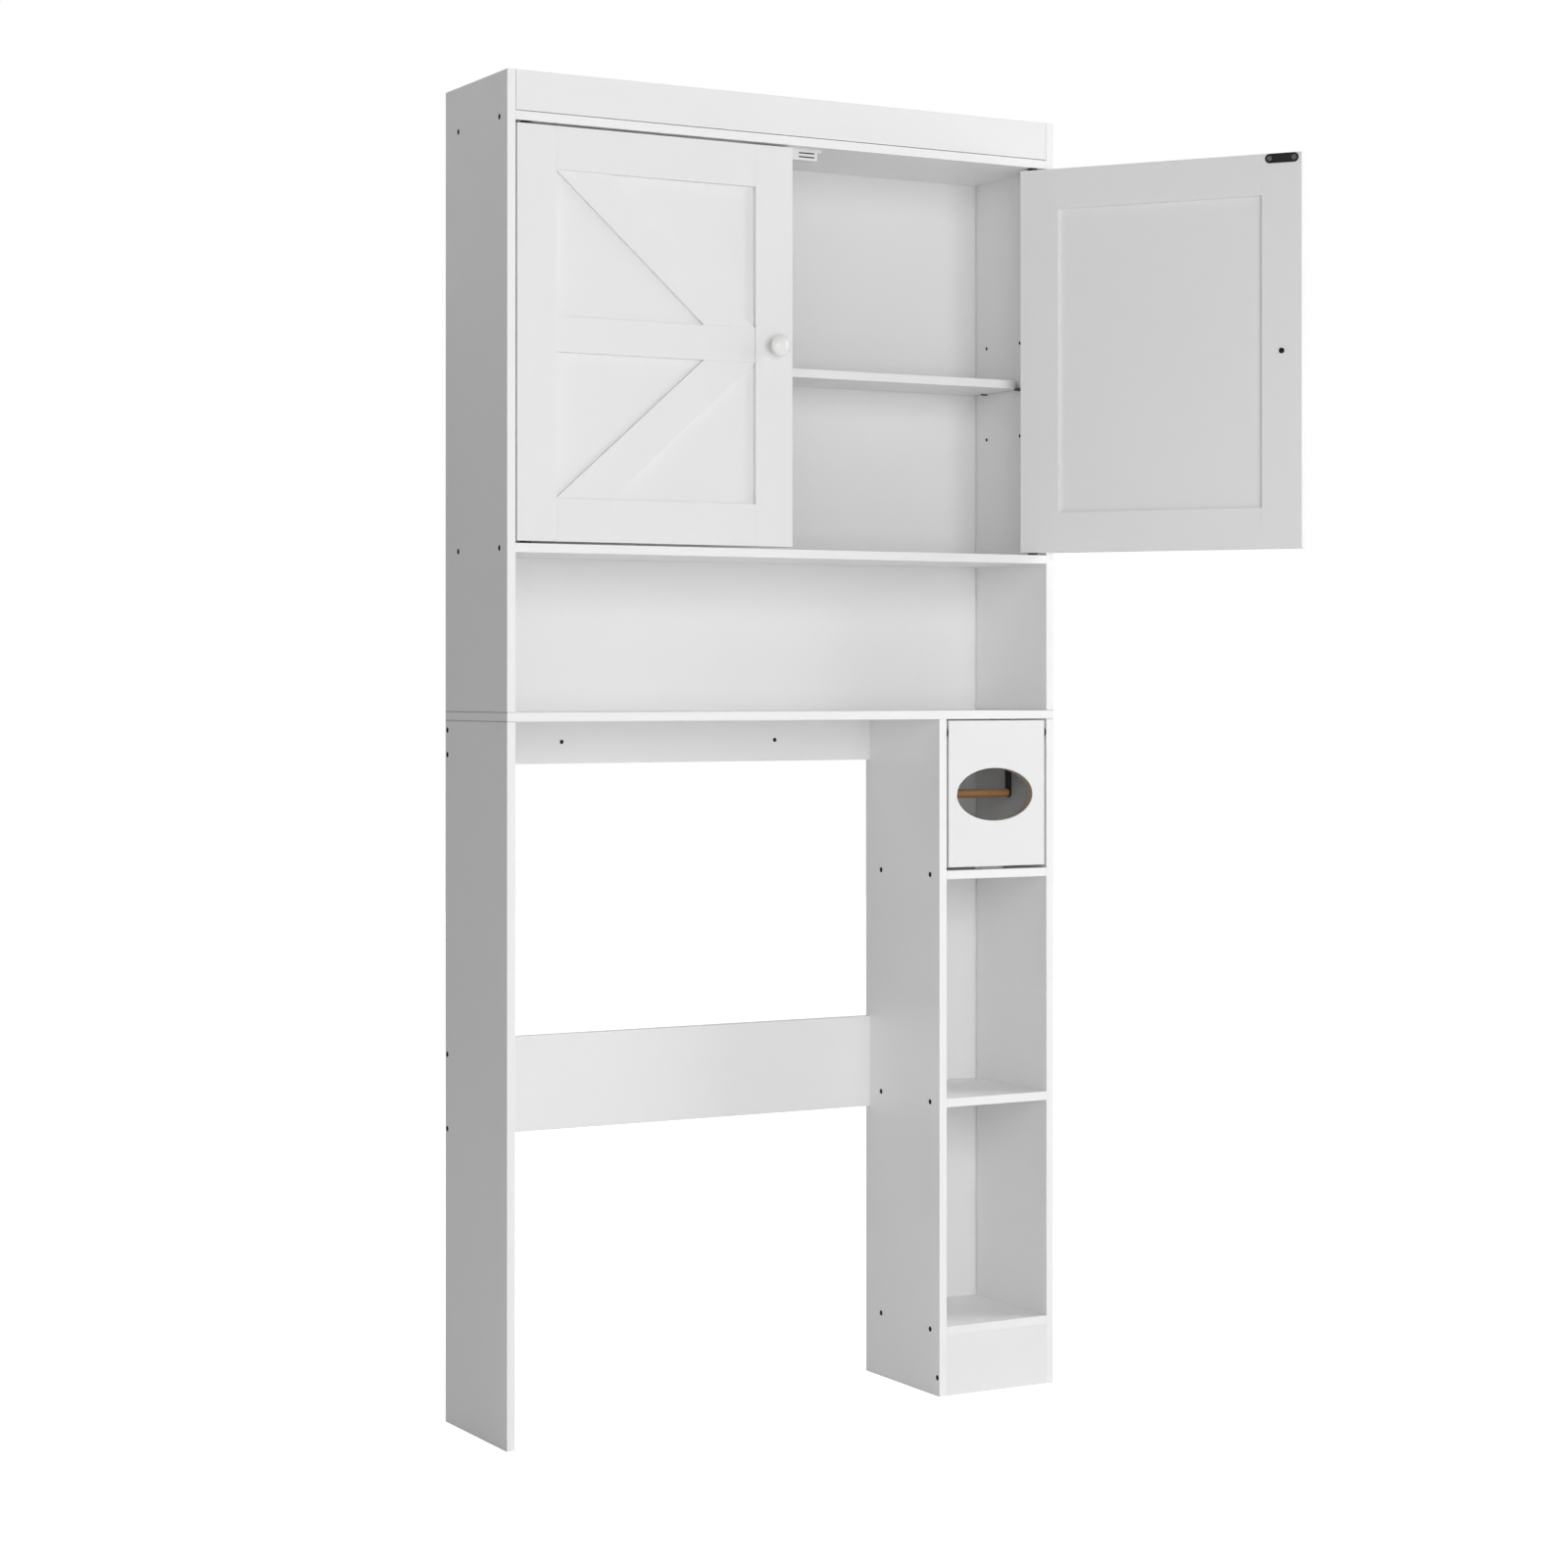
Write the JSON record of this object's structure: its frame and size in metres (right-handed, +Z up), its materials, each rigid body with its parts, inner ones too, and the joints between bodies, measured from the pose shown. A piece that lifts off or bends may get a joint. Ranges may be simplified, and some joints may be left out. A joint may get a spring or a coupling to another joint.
{
  "type": "over-the-toilet storage rack",
  "caption": "Tall storage rack that straddles a toilet: framed doors above an open shelf, and a slim side tower with a roll compartment behind a flap with an oval window.",
  "frame": {"origin": "on the floor and against the wall, at the lower rear outer corner of the left side, so X=0 is the left outer face, Y=0 the wall plane and Z=0 the floor", "axes": "+X to the viewer's right along the front, +Y back towards the wall, +Z up"},
  "size_m": [1.0656, 0.5154, 1.79],
  "materials": {
    "white_board": "satin white paint on board",
    "white_sheet": "white-faced 3 mm hardboard",
    "door_paint": "satin white paint on door frames",
    "door_sheet": "satin white paint on door panels",
    "knob_paint": "gloss white paint on a turned knob",
    "black_plate": "black stoved steel plate",
    "black_enamel": "black enamelled steel strap",
    "dark_steel": "black-coated screws",
    "bright_steel": "zinc-plated steel",
    "pole_steel": "dark oiled steel",
    "ferrite": "sintered magnet",
    "black_plastic": "black nylon",
    "white_plastic": "white nylon",
    "beech": "bare beech"
  },
  "bodies": {
    "carcass": {"adjustable_shelf": "white_board", "cabinet_floor": "white_board", "carcass_screws": "dark_steel", "catch_magnets": "ferrite", "catch_pole_plates": "pole_steel", "door_catch_housing": "white_plastic", "dowel_screws": "bright_steel", "holder_arm_left": "black_enamel", "holder_arm_right": "black_enamel", "kick_plate": "white_board", "lower_back_rail": "white_board", "lower_left_side": "white_board", "lower_right_side": "white_board", "middle_board": "white_board", "paper_catch_housing": "white_plastic", "paper_compartment_floor": "white_board", "pivot_bushes": "black_plastic", "shelf_pins": "bright_steel", "small_screws": "bright_steel", "top_fascia": "white_board", "top_panel": "white_board", "tower_back_panel": "white_sheet", "tower_bottom_shelf": "white_board", "tower_left_side": "white_board", "tower_middle_shelf": "white_board", "upper_back_panel": "white_sheet", "upper_back_rail": "white_board", "upper_left_side": "white_board", "upper_right_side": "white_board", "wood_dowels": "beech"},
    "left_door": {"left_door_bottom_rail": "door_paint", "left_door_free_stile": "door_paint", "left_door_hinge_stile": "door_paint", "left_door_knob": "knob_paint", "left_door_knob_screw": "dark_steel", "left_door_lower_brace": "door_paint", "left_door_middle_batten": "door_paint", "left_door_panel": "door_sheet", "left_door_pivot_pins": "bright_steel", "left_door_strike_plate": "black_plate", "left_door_strike_screws": "bright_steel", "left_door_top_rail": "door_paint", "left_door_upper_brace": "door_paint"},
    "right_door": {"right_door_bottom_rail": "door_paint", "right_door_free_stile": "door_paint", "right_door_hinge_stile": "door_paint", "right_door_knob": "knob_paint", "right_door_knob_screw": "dark_steel", "right_door_lower_brace": "door_paint", "right_door_middle_batten": "door_paint", "right_door_panel": "door_sheet", "right_door_pivot_pins": "bright_steel", "right_door_strike_plate": "black_plate", "right_door_strike_screws": "bright_steel", "right_door_top_rail": "door_paint", "right_door_upper_brace": "door_paint"},
    "paper_door": {"paper_door": "door_paint", "paper_door_pivot_pins": "bright_steel", "paper_door_strike": "bright_steel"},
    "paper_roller": {"paper_roller": "beech"}
  },
  "joints": [
    {"name": "left_door_hinge", "type": "hinge", "parent": "carcass", "child": "left_door", "pos_m": [0.03, -0.1925, 1.45], "axis": [0, 0, -1], "range_deg": [0, 130]},
    {"name": "right_door_hinge", "type": "hinge", "parent": "carcass", "child": "right_door", "pos_m": [0.82, -0.1925, 1.45], "axis": [0, 0, 1], "range_deg": [-126, 4]},
    {"name": "paper_door_hinge", "type": "hinge", "parent": "carcass", "child": "paper_door", "pos_m": [0.7545, -0.1925, 0.925], "axis": [-1, 0, 0], "range_deg": [0, 120]},
    {"name": "paper_roller_spin", "type": "hinge", "parent": "carcass", "child": "paper_roller", "pos_m": [0.7545, -0.125, 0.837], "axis": [1, 0, 0], "continuous": true}
  ]
}
